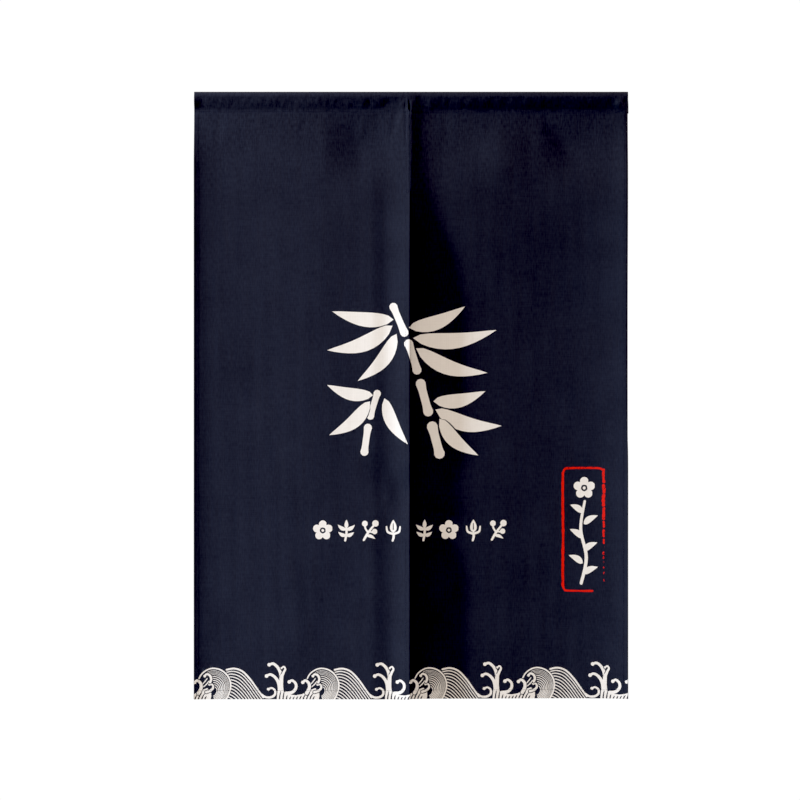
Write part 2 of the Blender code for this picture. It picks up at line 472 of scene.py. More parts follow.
@dataclass(frozen=True)
class Brush:
    """A brush that draws strokes of changing width, leaves and dots as closed outlines."""

    steps: int = 6
    cap_steps: int = 4
    leaf_place: float = 0.72
    leaf_round: float = 0.85

    def stroke(self, points: Outline, widths: tuple[float, ...], grow: float = 0.0) -> Outline:
        """The outline of a stroke with round ends.

        Args:
            points: A few points along its middle.
            widths: Its widths, spread evenly along it.
            grow: How much wider it is drawn on each side.

        Returns:
            The closed outline.
        """
        line = smooth_line(points, self.steps)
        places = np.linspace(0.0, len(widths) - 1.0, len(line))
        halves = np.interp(places, range(len(widths)), widths) / 2.0 + grow
        middle = np.array(line)
        along = np.gradient(middle, axis=0)
        along /= np.linalg.norm(along, axis=1)[:, None]
        aside = np.column_stack((-along[:, 1], along[:, 0])) * halves[:, None]
        left, right = middle + aside, middle - aside
        first, last = (math.atan2(*(way[::-1])) for way in (along[0], along[-1]))
        end = round_cap(line[-1], halves[-1], last + math.pi / 2, -math.pi, self.cap_steps)
        start = round_cap(line[0], halves[0], first - math.pi / 2, -math.pi, self.cap_steps)
        return [tuple(point) for point in left] + end + [tuple(point) for point in right[::-1]] + start

    def leaf(self, base: Point, tip: Point, width: float, bend: float) -> Outline:
        """The outline of a pointed leaf.

        Args:
            base: Where it starts.
            tip: Where it ends.
            width: Its greatest width.
            bend: How far its middle is bent aside, as a share of its length.

        Returns:
            The closed outline.
        """
        run = np.array(tip) - np.array(base)
        side = np.array((-run[1], run[0]))
        shares = np.linspace(0.0, 1.0, 2 * self.steps)
        middle = np.array(base) + shares[:, None] * run + (bend * np.sin(np.pi * shares))[:, None] * side
        half = width / 2.0 * np.sin(np.pi * shares ** self.leaf_place) ** self.leaf_round
        aside = half[:, None] * side / np.linalg.norm(side)
        upper, lower = middle + aside, middle - aside
        return [tuple(point) for point in upper] + [tuple(point) for point in lower[-2:0:-1]]

    def dot(self, centre: Point, radius: float) -> Outline:
        """The outline of a round dot."""
        return round_cap(centre, radius, 0.0, 2.0 * math.pi, 4 * self.cap_steps - 1)


@dataclass(frozen=True)
class Motif:
    """Something printed on the cloth, drawn with a brush at a place."""

    brush: Brush = Brush()

    def shapes(self) -> list[Shape]:
        """The motif's shapes, in the order in which they are painted."""
        raise NotImplementedError

    def stroke(self, points: Outline, widths: tuple, ink: Ink = Ink.CREAM, grow: float = 0.0) -> Shape:
        """A painted stroke."""
        return Shape(ink, self.brush.stroke(points, widths, grow))

    def leaf(self, base: Point, tip: Point, width: float, bend: float, ink: Ink = Ink.CREAM) -> Shape:
        """A painted leaf."""
        return Shape(ink, self.brush.leaf(base, tip, width, bend))

    def dot(self, centre: Point, radius: float, ink: Ink = Ink.CREAM) -> Shape:
        """A painted dot."""
        return Shape(ink, self.brush.dot(centre, radius))

    def moved(self, shapes: list[Shape], across: float, up: float, size: float = 1.0) -> list[Shape]:
        """The shapes scaled about the origin and shifted."""
        return [Shape(shape.ink, [(across + size * x, up + size * y) for x, y in shape.outline])
                for shape in shapes]


@dataclass(frozen=True)
class Claw:
    """A curling finger of spray: points along it, its widths and the radius of its round tip."""

    points: tuple
    widths: tuple
    tip: float


@dataclass(frozen=True)
class WaveBorder(Motif):
    """A traditional repeat of rolling waves with spray, cut by the hem.

    One unit is drawn in its own small units, unit_length of them to a pitch. The columns of swell_rings are
    size, width and how many points are left out at the start. Those of slashes are start, length and lean.
    """

    left: float = 0.0
    units: int = 2
    pitch: float = 0.2117
    unit_length: float = 211.7
    line: float = 2.15
    bold: float = 3.6
    taper: float = 0.9
    gap: float = 1.5
    crest_lines: int = 12
    crest_step: Point = (-2.0, -5.4)
    crest_line: tuple = ((64.0, 57.5), (79.0, 60.0), (95.0, 54.5), (110.0, 39.5), (123.0, 21.5), (136.0, 3.5))
    crest_claw: Claw = Claw(
        ((133.0, 9.0), (141.0, 4.0), (151.0, 4.0), (158.5, 9.0), (158.8, 17.0), (152.5, 22.0), (146.0, 19.6)),
        (3.6, 4.2, 4.6, 4.4, 3.6, 3.4), 3.0)
    swell_ground: tuple = ((39.0, 26.5), 36.4)
    swell_start: float = 2.4
    swell_heart: Point = (37.0, 14.0)
    swell_line: tuple = ((9.0, 38.0), (16.0, 50.0), (28.0, 58.3), (41.0, 60.3), (55.0, 56.0), (66.0, 46.0),
                         (71.5, 33.0), (71.0, 18.0), (65.0, 3.0), (56.0, -10.0), (44.0, -18.0))
    swell_rings: tuple = ((0.905, 1.0, 1), (0.850, 1.0, 1), (0.795, 1.0, 1), (0.740, 1.1, 2), (0.665, 1.8, 2),
                          (0.580, 1.9, 2), (0.495, 1.9, 2), (0.410, 1.9, 3), (0.325, 1.8, 3), (0.240, 1.7, 3))
    ring_start: float = 0.8
    spray_claws: tuple = (
        Claw(((171.0, 34.0), (170.0, 50.0), (164.5, 62.0), (155.5, 69.5), (147.5, 67.5)),
             (7.0, 6.0, 5.2, 4.6), 3.6),
        Claw(((168.0, 20.0), (165.5, 33.0), (158.5, 43.5), (149.5, 48.5), (142.5, 45.5)),
             (7.0, 6.0, 5.0, 4.4), 3.6),
        Claw(((172.0, 44.0), (176.0, 53.0), (179.0, 59.0), (176.0, 63.8), (171.8, 61.0)),
             (6.0, 4.4, 3.4, 2.8), 2.2),
        Claw(((180.0, 12.0), (192.0, 13.5), (199.5, 21.0), (199.5, 30.5), (192.5, 36.8), (186.8, 34.0)),
             (6.0, 6.0, 5.4, 4.8, 4.2), 3.5),
    )
    trunk: tuple = ((171.5, -4.0), (170.0, 12.0), (170.5, 28.0), (172.0, 46.0))
    trunk_widths: tuple = (20.0, 13.0, 8.6, 6.6)
    foam_ground: tuple = ((160.0, -3.0), (168.0, 9.0), (176.0, 15.0), (184.0, 11.5), (191.0, 9.0),
                          (200.0, 8.0), (212.0, 10.0), (226.0, 17.5), (238.0, 22.0), (245.5, 14.0),
                          (246.0, 6.0), (244.0, -3.0))
    slashes: tuple = ((167.5, 15.0, 2.4), (174.5, 14.0, 2.2), (181.0, 7.5, 2.0), (187.5, 5.0, 2.4),
                      (194.0, 4.6, 2.6), (200.5, 5.0, 3.0), (207.0, 6.5, 3.6), (213.5, 9.5, 5.2),
                      (220.0, 12.0, 6.8), (226.5, 11.0, 6.4), (233.0, 5.5, 3.2))
    slash_foot: float = -2.0
    slash_widths: tuple = (2.7, 2.4, 1.3)
    foam_claws: tuple = (
        Claw(((236.0, 14.0), (244.5, 17.0), (249.5, 22.5), (248.0, 28.5), (242.6, 29.2)),
             (5.0, 4.6, 3.6, 3.0), 2.6),
        Claw(((221.0, 12.0), (226.0, 22.0), (225.0, 31.5), (218.5, 36.8), (213.4, 33.2)),
             (7.0, 6.0, 5.0, 4.2), 3.4),
        Claw(((243.5, 33.0), (245.8, 40.0), (242.5, 47.0), (236.6, 49.0), (233.2, 45.4)),
             (4.6, 4.6, 4.2, 3.4), 2.8),
    )
    webs: tuple = ((((229.5, 30.0), (234.5, 36.0), (238.0, 41.0)), (1.6, 2.2, 1.4)),
                   (((231.0, 24.5), (237.0, 30.0), (241.0, 35.5)), (1.8, 2.4, 1.4)))

    def claws(self, *claws: Claw) -> list[Shape]:
        """Fingers of spray, each set off by a dark line."""
        shapes = []
        for claw in claws:
            for ink, grow in ((Ink.GROUND, self.gap), (Ink.CREAM, 0.0)):
                shapes.append(self.stroke(claw.points, claw.widths, ink, grow))
                shapes.append(self.dot(claw.points[-1], claw.tip + grow, ink))
        return shapes

    def crest(self) -> list[Shape]:
        """The second wave: one bold line, fine ones below it that sweep down to the right, and a claw."""
        shapes = self.claws(self.crest_claw)
        for index in range(self.crest_lines):
            across, up = (index * step for step in self.crest_step)
            points = [(x + across, y + up) for x, y in self.crest_line]
            wide = self.line if index else self.bold
            shapes.append(self.stroke(points, (wide, wide, wide, wide * self.taper)))
        return shapes

    def swell(self) -> list[Shape]:
        """The first wave, a round swell filled with rings that draw together at its foot."""
        bold = self.bold * self.taper
        shapes = [self.dot(*self.swell_ground, Ink.GROUND),
                  self.stroke(self.swell_line, (self.swell_start, bold, bold))]
        heart = np.array(self.swell_heart)
        for size, wide, skip in self.swell_rings:
            ring = [tuple(between(heart, np.array(point), size)) for point in self.swell_line[skip:]]
            shapes.append(self.stroke(ring, (wide * self.ring_start, wide, wide)))
        return shapes

    def spray(self) -> list[Shape]:
        """The tree of spray beside the waves."""
        return self.claws(*self.spray_claws) + [self.stroke(self.trunk, self.trunk_widths)]

    def foam(self) -> list[Shape]:
        """The low foam that runs from the spray into the next unit's claws."""
        shapes = [Shape(Ink.CREAM, list(self.foam_ground))]
        for start, length, lean in self.slashes:
            slash = [(start, self.slash_foot), (start + 0.4 * lean, 0.45 * length), (start + lean, length)]
            shapes.append(self.stroke(slash, self.slash_widths, Ink.GROUND))
        return shapes + self.claws(*self.foam_claws) + [self.stroke(*web) for web in self.webs]

    def shapes(self) -> list[Shape]:
        """All the units of one cloth, the foam of each over the next unit's swell."""
        made = []
        size = self.pitch / self.unit_length
        for index in range(self.units):
            made += self.moved(self.crest() + self.swell(), self.left + index * self.pitch, -HEIGHT, size)
        for index in range(-1, self.units):
            made += self.moved(self.spray() + self.foam(), self.left + index * self.pitch, -HEIGHT, size)
        return made


@dataclass(frozen=True)
class BambooSprig(Motif):
    """Two jointed stems with leaves in broad brush strokes, across the split.

    The columns of stems are points from the foot up, width at the joints and number of parts, and those of
    leaves are base, tip, width and bend.
    """

    joint: float = 0.0045
    gap: float = 0.0050
    thinner: float = 0.08
    waist: float = 0.80
    fine_steps: int = 24
    stems: tuple = (
        (((0.058, -0.716), (0.030, -0.612), (0.000, -0.506), (-0.036, -0.417)), 0.0215, 4),
        (((-0.092, -0.712), (-0.082, -0.646), (-0.064, -0.584)), 0.0160, 2),
    )
    leaves: tuple = (
        ((-0.034, -0.446), (-0.154, -0.430), 0.0290, 0.06),
        ((-0.036, -0.458), (-0.164, -0.506), 0.0310, 0.10),
        ((-0.028, -0.474), (-0.104, -0.566), 0.0280, 0.10),
        ((-0.004, -0.462), (0.106, -0.420), 0.0290, -0.08),
        ((0.004, -0.482), (0.168, -0.466), 0.0320, -0.08),
        ((0.010, -0.502), (0.150, -0.550), 0.0310, -0.10),
        ((-0.074, -0.594), (-0.164, -0.574), 0.0250, 0.08),
        ((-0.080, -0.606), (-0.160, -0.672), 0.0270, 0.10),
        ((-0.052, -0.600), (-0.006, -0.690), 0.0250, -0.08),
        ((0.044, -0.606), (0.146, -0.586), 0.0280, -0.08),
        ((0.048, -0.622), (0.178, -0.654), 0.0310, -0.10),
        ((0.056, -0.640), (0.132, -0.712), 0.0280, -0.10),
    )

    def stem(self, points: Outline, width: float, parts: int) -> list[Shape]:
        """One stem in parts, each a little wider at its ends, with a gap at each joint.

        Args:
            points: A few points along the stem, from its foot up.
            width: Width at the joints.
            parts: How many parts it has.

        Returns:
            One shape for each part.
        """
        line = smooth_line(points, self.fine_steps)
        length = math.dist(points[0], points[-1]) / parts
        shapes = []
        for index in range(parts):
            now = width * (1.0 - self.thinner * index)
            inset = (now + self.joint) / 2 / length
            places = (index + np.array((inset, 0.35, 0.65, 1.0 - inset))) * (len(line) - 1) / parts
            run = [line[round(place)] for place in places]
            shapes.append(self.stroke(run, (now, now * self.waist, now * self.waist, now)))
        return shapes

    def shapes(self) -> list[Shape]:
        """The stems, then their leaves, each set off by a dark line."""
        shapes = [shape for row in self.stems for shape in self.stem(*row)]
        for base, tip, width, bend in self.leaves:
            shapes.append(self.leaf(base, tip, width + self.gap, bend, Ink.GROUND))
            shapes.append(self.leaf(base, tip, width, bend))
        return shapes


class Ornament(Enum):
    """The small ornaments of the row."""

    BLOSSOM = "blossom"
    LEAVES = "leaves"
    BERRIES = "berries"
    BUD = "bud"


@dataclass(frozen=True)
class OrnamentRow(Motif):
    """Eight small plant ornaments in a row, four on a cloth. One is drawn 2 units high about its middle."""

    drop: float = 0.8585
    half: float = 0.0214
    places: tuple = (-0.1725, -0.1265, -0.0805, -0.0345, 0.0265, 0.0745, 0.1225, 0.1705)
    kinds: tuple = (Ornament.BLOSSOM, Ornament.LEAVES, Ornament.BERRIES, Ornament.BUD,
                    Ornament.LEAVES, Ornament.BLOSSOM, Ornament.BUD, Ornament.BERRIES)
    thin: tuple = (0.20, 0.22, 0.18)
    petals: int = 5
    petal_reach: float = 0.56

    def blossom(self) -> list[Shape]:
        """A flower with a dark ring around its heart."""
        turns = [math.radians(90 + 360 / self.petals * petal) for petal in range(self.petals)]
        petals = [self.dot((self.petal_reach * math.cos(turn), self.petal_reach * math.sin(turn)), 0.36)
                  for turn in turns]
        return petals + [self.dot((0.0, 0.0), 0.27, Ink.GROUND), self.dot((0.0, 0.0), 0.13)]

    def leafy_twig(self) -> list[Shape]:
        """An upright twig with five leaves."""
        leaves = (((0.0, 0.20), (0.02, 0.98), 0.36, 0.0), ((0.0, 0.05), (-0.78, 0.52), 0.36, 0.1),
                  ((0.0, 0.05), (0.78, 0.50), 0.36, -0.1), ((-0.02, -0.50), (-0.74, -0.14), 0.34, 0.1),
                  ((-0.02, -0.50), (0.70, -0.16), 0.34, -0.1))
        stem = self.stroke([(-0.10, -0.92), (0.02, -0.20), (-0.02, 0.40)], self.thin)
        return [stem] + [self.leaf(*row) for row in leaves]

    def berry_twig(self) -> list[Shape]:
        """A slanting twig with three berries and a leaf."""
        berries = (((0.52, 0.64), 0.30), ((-0.45, 0.62), 0.27), ((0.44, -0.10), 0.25))
        return [self.stroke([(-0.55, -0.88), (-0.15, -0.20), (0.42, 0.52)], self.thin),
                self.stroke([(-0.15, -0.20), (-0.40, 0.18), (-0.44, 0.44)], (0.17, 0.16)),
                *(self.dot(*berry) for berry in berries),
                self.stroke([(-0.05, -0.10), (0.18, -0.16), (0.36, -0.12)], (0.15, 0.15)),
                self.leaf((-0.30, -0.46), (0.50, -0.78), 0.30, 0.1)]

    def bud(self) -> list[Shape]:
        """A closed flower between two sepals on a short stem."""
        sepals = [self.stroke([(side * 0.10, -0.30), (side * 0.52, -0.12), (side * 0.62, 0.34)],
                              (0.22, 0.20, 0.14)) for side in (-1.0, 1.0)]
        return [self.leaf((0.0, -0.20), (0.0, 0.98), 0.62, 0.0),
                self.stroke([(0.0, 0.10), (0.0, 0.62)], (0.10, 0.06), Ink.GROUND),
                *sepals, self.stroke([(0.0, -0.24), (0.03, -0.60), (-0.06, -0.94)], self.thin)]

    def drawn(self, kind: Ornament) -> list[Shape]:
        """The shapes of one ornament about its middle."""
        ways = {Ornament.BLOSSOM: self.blossom, Ornament.LEAVES: self.leafy_twig,
                Ornament.BERRIES: self.berry_twig, Ornament.BUD: self.bud}
        return ways[kind]()

    def shapes(self) -> list[Shape]:
        """All eight ornaments."""
        made = []
        for place, kind in zip(self.places, self.kinds):
            made += self.moved(self.drawn(kind), place, -self.drop, self.half)
        return made


@dataclass(frozen=True)
class Cartouche(Motif):
    """A worn red frame, broken along its right side, around an upright flowering twig.

    The columns of breaks are start, end and width of each stretch that is left of the right side. Those of
    twig_leaves are height, side, length and rise.
    """

    left: float = 0.2985
    right: float = 0.3783
    top: float = 0.7371
    low: float = 0.9775
    corner: float = 0.0095
    nook_share: float = 0.3
    line: float = 0.0053
    thin: float = 0.78
    seed: int = 5
    breaks: tuple = ((0.000, 0.100, 0.0052), (0.126, 0.185, 0.0058), (0.209, 0.290, 0.0060),
                     (0.316, 0.400, 0.0054), (0.425, 0.470, 0.0042), (0.497, 0.545, 0.0044),
                     (0.570, 0.600, 0.0036), (0.624, 0.650, 0.0034), (0.674, 0.690, 0.0030),
                     (0.712, 0.722, 0.0028), (0.752, 0.768, 0.0020), (0.795, 0.803, 0.0016),
                     (0.838, 0.850, 0.0016), (0.896, 0.910, 0.0013))
    side_shares: tuple = (0.15, 0.25, 0.35, 0.45, 0.55, 0.65, 0.75, 0.85)
    top_bow: float = 0.0004
    foot_bow: float = 0.0006
    foot_stop: float = 0.022
    wear_steps: int = 5
    edge_wear: float = 0.00016
    width_wear: tuple = (0.80, 1.12)
    side_wander: float = 0.0003
    break_wander: float = 0.0004
    chips: int = 40
    chip_reach: float = 0.75
    chip_top_share: float = 0.35
    chip_spread: Point = (0.0022, 0.0016)
    chip_across: tuple = (0.0006, 0.0018)
    chip_up: float = 0.0030
    chip_widths: tuple = (0.0009, 0.0005)
    stem: tuple = ((-0.004, -0.963), (0.006, -0.912), (-0.005, -0.856), (0.003, -0.802))
    stem_widths: tuple = (0.0060, 0.0064, 0.0058, 0.0048)
    twig_leaves: tuple = ((-0.944, 1, 0.0275, 0.013), (-0.924, -1, 0.0275, 0.016),
                          (-0.899, 1, 0.0265, 0.016), (-0.874, -1, 0.0255, 0.017),
                          (-0.847, 1, 0.0275, 0.017), (-0.824, -1, 0.0245, 0.015))
    leaf_width: float = 0.0125
    leaf_bend: float = 0.08
    leaf_foot: float = 0.001
    blossom_place: Point = (0.002, -0.776)
    blossom_half: float = 0.0235

    def rough(self, rng: np.random.Generator, points: Outline, width: float) -> Shape:
        """A red stroke with worn edges.

        Args:
            rng: The source of the wear.
            points: A few points along its middle.
            width: Its width before wear.

        Returns:
            The stroke.
        """
        line = [(x + rng.normal(0.0, self.edge_wear), y + rng.normal(0.0, self.edge_wear))
                for x, y in smooth_line(points, self.wear_steps)]
        widths = tuple(width * rng.uniform(*self.width_wear) for _ in line)
        return Shape(Ink.RED, Brush(steps=1).stroke(line, widths))

    def frame(self, rng: np.random.Generator) -> list[Shape]:
        """The frame's strokes."""
        left, right, top, low, bend = self.left, self.right, -self.top, -self.low, self.corner
        nook = self.nook_share * bend
        height = top - low
        across = [(right - nook, top - nook), (right - bend, top),
                  (between(left, right, 0.5), top + self.top_bow), (left + bend, top),
                  (left + nook, top - nook), (left, top - bend)]
        drifts = [rng.normal(0.0, self.side_wander) for _ in self.side_shares]
        side = [(left + drift, top - share * height) for drift, share in zip(drifts, self.side_shares)]
        down = [(left, top - bend), *side, (left, low + bend)]
        foot = [(left, low + bend), (left + nook, low + nook), (left + bend, low),
                (right - self.foot_stop, low - self.foot_bow)]
        shapes = [self.rough(rng, across, self.line * self.thin), self.rough(rng, down, self.line),
                  self.rough(rng, foot, self.line * self.thin)]
        for start, end, width in self.breaks:
            run = [(right + rng.normal(0.0, self.break_wander), top - nook - share * height)
                   for share in (start, (start + end) / 2, end)]
            shapes.append(self.rough(rng, run, width))
        return shapes

    def chip(self, rng: np.random.Generator) -> Shape:
        """A small chip that wear has left in the frame's right side or its top."""
        spot = (self.right, between(-self.top, -self.low, rng.uniform(0.0, self.chip_reach)))
        if rng.uniform() < self.chip_top_share:
            spot = (between(self.left, self.right, rng.uniform()), -self.top)
        start = tuple(place + rng.normal(0.0, spread) for place, spread in zip(spot, self.chip_spread))
        end = (start[0] + rng.uniform(*self.chip_across), start[1] + rng.uniform(-self.chip_up, self.chip_up))
        return Shape(Ink.GROUND, Brush(steps=2, cap_steps=2).stroke([start, end], self.chip_widths))

    def twig(self) -> list[Shape]:
        """The upright twig: a winding stem, leaves on both sides and a blossom at its top."""
        middle = (self.left + self.right) / 2
        shapes = [self.stroke([(middle + aside, up) for aside, up in self.stem], self.stem_widths)]
        for up, side, length, rise in self.twig_leaves:
            base = (middle + self.leaf_foot * side, up)
            tip = (base[0] + side * length, up + rise)
            shapes.append(self.leaf(base, tip, self.leaf_width, self.leaf_bend * side))
        aside, up = self.blossom_place
        return shapes + self.moved(OrnamentRow().blossom(), middle + aside, up, self.blossom_half)

    def shapes(self) -> list[Shape]:
        """The frame, its chips and what it holds."""
        rng = np.random.default_rng(self.seed)
        return self.frame(rng) + [self.chip(rng) for _ in range(self.chips)] + self.twig()


def signed_area(outline: Outline) -> float:
    """Area of an outline, above zero if it runs anticlockwise."""
    pairs = zip(outline, outline[1:] + outline[:1])
    return 0.5 * sum(start[0] * end[1] - end[0] * start[1] for start, end in pairs)


@dataclass
class Face:
    """The printed face of a cloth as points, polygons and the ink of each polygon."""

    points: list
    places: list
    polygons: list = field(default_factory=list)
    inks: list = field(default_factory=list)
    drops: Array = field(default_factory=lambda: np.zeros(0))


@dataclass
class ClothSheet:
    """One cloth of the curtain: its grid, its print and its hems.

    The steps are distances of the grid's columns from the side edges, and of its rows from the bottom edge
    and from the pocket's stitch line. The print is cut in by a triangulation that keeps what lies inside the
    outlines, which is its output kind cut_inside, and joins points closer than cut_reach.
    """

    side: Side
    left: float
    right: float
    drape: Drape
    motifs: tuple
    pocket: RodPocket = RodPocket()
    pitch: float = 0.0042
    row_pitch: float = 0.0060
    side_steps: tuple = (0.0, 0.0008, 0.0018, 0.0030, 0.0045, 0.0060, 0.0070, 0.0082)
    foot_steps: tuple = (0.0, 0.0010, 0.0030, 0.0070, 0.0120, 0.0170)
    neck: float = 0.012
    neck_steps: tuple = (0.0090, 0.0060, 0.0040, 0.0026, 0.0012, 0.0)
    tail_steps: tuple = (0.0014, 0.0028)
    fore_ends: Point = (0.0012, 0.0014)
    fore_rows: int = 18
    crown_rows: int = 15
    aft_start: float = 0.002
    aft_rows: int = 13
    inner_shift: float = 0.00301
    shift_reach: float = 0.0060
    lap_rise: float = 0.0040
    margin: float = 0.006
    cut_inside: int = 1
    cut_reach: float = 1e-6
    ink_edge: float = math.radians(50.0)

    def columns(self) -> Array:
        """Places across the cloth, close together at both side hems."""
        hem = np.array((*self.side_steps, SIDE_HEM - HEM_STEP / 2))
        inner = SIDE_HEM + HEM_STEP / 2
        count = round((self.right - self.left - 2 * inner) / self.pitch)
        middle = np.linspace(self.left + inner, self.right - inner, count + 1)
        return np.concatenate((self.left + hem, middle, self.right - hem[::-1]))

    def rows(self) -> list[Row]:
        """Rows from the bottom hem up the face, over the rod pocket and down its back."""
        drops = [HEIGHT - step for step in self.foot_steps]
        drops += [HEIGHT - BOTTOM_HEM + HEM_STEP / 2, HEIGHT - BOTTOM_HEM - HEM_STEP / 2]
        top = POCKET + self.neck
        count = round((drops[-1] - top) / self.row_pitch)
        drops += list(np.linspace(drops[-1], top, count + 1)[1:])
        drops += [POCKET + step for step in self.neck_steps]
        crown = self.pocket.round_drop
        fore = np.linspace(POCKET - self.fore_ends[0], crown + self.fore_ends[1], self.fore_rows)
        turns = np.linspace(-math.pi / 2, math.pi / 2, self.crown_rows)
        aft = [*np.linspace(crown + self.aft_start, POCKET, self.aft_rows),
               *(POCKET + step for step in (*self.tail_steps, self.pocket.tuck_reach))]
        zones = ((Zone.PANEL, drops), (Zone.FORE, fore), (Zone.CROWN, turns), (Zone.AFT, aft))
        return [Row(zone, place) for zone, places in zones for place in places]

    def layers(self, x: Array, drop: Array) -> Array:
        """Thickness of the cloth, double in its hems."""
        inside = np.minimum(x - self.left, self.right - x)
        hem = (inside < SIDE_HEM) | (drop > HEIGHT - BOTTOM_HEM)
        return np.where(hem, HEM_CLOTH, CLOTH)

    def shifted(self, x: Array, share: Array) -> Array:
        """Places across the pocket, where the two cloths meet edge to edge and don't lap."""
        if self.side is Side.LEFT:
            return x - self.inner_shift * share * np.exp((x - self.right) / self.shift_reach)
        return x + self.inner_shift * share * np.exp((self.left - x) / self.shift_reach)

    def lay_row(self, row: Row, x: Array) -> Array:
        """Points of one row.

        Args:
            row: The row.
            x: The places across the cloth.

        Returns:
            One point for each place.
        """
        if row.zone is Zone.PANEL:
            return self.lay_panel(x, np.full_like(x, row.place))
        low = row.place if row.zone is Zone.FORE else 0.0
        across = self.shifted(x, 1.0 - ramp(POCKET - self.lap_rise, POCKET, np.full_like(x, low)))
        if row.zone is Zone.CROWN:
            drop = np.full_like(x, self.pocket.round_drop * (1.0 - math.cos(row.place)))
            relief = self.pocket.relief(x, drop) * (row.place < 0)
            depth = self.pocket.half_space * math.sin(row.place) + relief
            return np.column_stack((across, depth, -drop))
        drop = np.full_like(x, row.place)
        if row.zone is Zone.FORE:
            return np.column_stack((across, self.pocket.fore(x, drop, self.drape), -drop))
        depth = self.pocket.aft(x, drop, self.drape, self.layers(x, drop * 0.0))
        return np.column_stack((across, depth, -drop))

    def lay_panel(self, x: Array, drop: Array) -> Array:
        """Points of the hanging face below the stitch line."""
        return np.column_stack((x, self.drape.front(x, drop), -drop))

    def patch(self, columns: Array, drops: Array, shapes: list[Shape]) -> tuple[slice, slice]:
        """The rows and columns of the grid that hold some shapes."""
        points = np.array([point for shape in shapes for point in shape.outline])
        low, high = points.min(axis=0), points.max(axis=0)
        spans = []
        for places, axis in ((-drops, 1), (columns, 0)):
            first = max(int(np.searchsorted(places, low[axis] - self.margin)) - 1, 0)
            last = min(int(np.searchsorted(places, high[axis] + self.margin)), len(places) - 1)
            spans.append(slice(first, last + 1))
        return spans[0], spans[1]

    def paint(self, face: Face, columns: Array, drops: Array, motif: list[Shape]) -> tuple[slice, slice]:
        """Cut a group of shapes into the face.

        Args:
            face: The face, which gets the new points and polygons.
            columns: Places of the grid's columns.
            drops: Drops of the panel's rows.
            motif: The shapes, in the order in which they are painted.

        Returns:
            The rows and columns of the grid that the new polygons cover.
        """
        tall, wide = self.patch(columns, drops, motif)
        grid = [(row, column) for row in range(tall.start, tall.stop)
                for column in range(wide.start, wide.stop)]
        span = wide.stop - wide.start
        high = tall.stop - tall.start
        spots = [Vector((columns[column], -drops[row])) for row, column in grid]
        border = [*range(span), *(span * row + span - 1 for row in range(1, high)),
                  *(span * (high - 1) + column for column in range(span - 2, -1, -1)),
                  *(span * row for row in range(high - 2, 0, -1))]
        outlines = [border]
        for shape in motif:
            outline = shape.outline if signed_area(shape.outline) > 0 else shape.outline[::-1]
            outlines.append(list(range(len(spots), len(spots) + len(outline))))
            spots += [Vector(point) for point in outline]
        verts, _, faces, held, _, covers = geometry.delaunay_2d_cdt(
            spots, [], outlines, self.cut_inside, self.cut_reach, True)
        names = {}
        for polygon, cover in zip(faces, covers):
            if 0 not in cover:
                continue
            for vert in polygon:
                if vert in names:
                    continue
                node = next((source for source in held[vert] if source < len(grid)), None)
                if node is None:
                    names[vert] = len(face.places)
                    face.places.append((verts[vert].x, -verts[vert].y))
                else:
                    names[vert] = grid[node][0] * len(columns) + grid[node][1]
            top = max(cover)
            face.polygons.append([names[vert] for vert in polygon])
            face.inks.append(motif[top - 1].ink if top else Ink.GROUND)
        return tall, wide

    def face(self) -> Face:
        """The whole printed face, over the pocket to the end of its back."""
        columns = self.columns()
        rows = self.rows()
        drops = np.array([row.place for row in rows if row.zone is Zone.PANEL])
        face = Face(points=[], places=[(x, row.place) for row in rows for x in columns])
        covered = np.zeros((len(rows) - 1, len(columns) - 1), dtype=bool)
        for group in self.motifs:
            shapes = [shape for motif in group for shape in motif.shapes() if self.holds(shape)]
            tall, wide = self.paint(face, columns, drops, shapes)
            covered[tall.start:tall.stop - 1, wide.start:wide.stop - 1] = True
        for row, column in zip(*np.nonzero(~covered)):
            first = row * len(columns) + column
            face.polygons.append([first, first + 1, first + 1 + len(columns), first + len(columns)])
            face.inks.append(Ink.GROUND)
        grid = np.concatenate([self.lay_row(row, columns) for row in rows])
        extra = np.array(face.places[len(grid):]).reshape(-1, 2)
        face.points = np.concatenate((grid, self.lay_panel(extra[:, 0], extra[:, 1])))
        spine = grid.reshape(len(rows), len(columns), 3)[:, len(columns) // 2]
        lengths = np.linalg.norm(np.diff(spine, axis=0), axis=1)
        climb = np.concatenate((drops, POCKET - np.cumsum(lengths[len(drops) - 1:])))
        face.places = [(x - self.left, flat) for flat in climb for x in columns]
        face.places += [(x - self.left, drop) for x, drop in extra]
        face.drops = np.concatenate((np.repeat(climb, len(columns)), extra[:, 1]))
        return face

    def holds(self, shape: Shape) -> bool:
        """True if part of a shape lies on this cloth."""
        across = [point[0] for point in shape.outline]
        return min(across) < self.right and max(across) > self.left

    def build(self) -> dict[str, bpy.types.Object]:
        """Make the cloth and its print.

        Returns:
            The objects by the name of what they are: cloth, cream and red.
        """
        face = self.face()
        name = self.side.value
        cloth = make_mesh(f"curtain_{name}", face.points, face.polygons, face.places)
        normals = np.empty(3 * len(face.points))
        cloth.data.vertex_normals.foreach_get("vector", normals)
        normals = normals.reshape(-1, 3)
        layers = self.layers(np.array(face.places)[:, 0] + self.left, face.drops)
        group = cloth.vertex_groups.new(name="thickness")
        for depth in (CLOTH, HEM_CLOTH):
            group.add([int(index) for index in np.nonzero(layers == depth)[0]], depth / HEM_CLOTH, "REPLACE")
        thicken(cloth, HEM_CLOTH, group.name)
        made = {"cloth": cloth}
        for ink in (Ink.CREAM, Ink.RED):
            polygons = [polygon for polygon, found in zip(face.polygons, face.inks) if found is ink]
            if polygons:
                made[ink.value] = self.film(face, normals, polygons, f"print_{ink.value}_{name}")
        return made

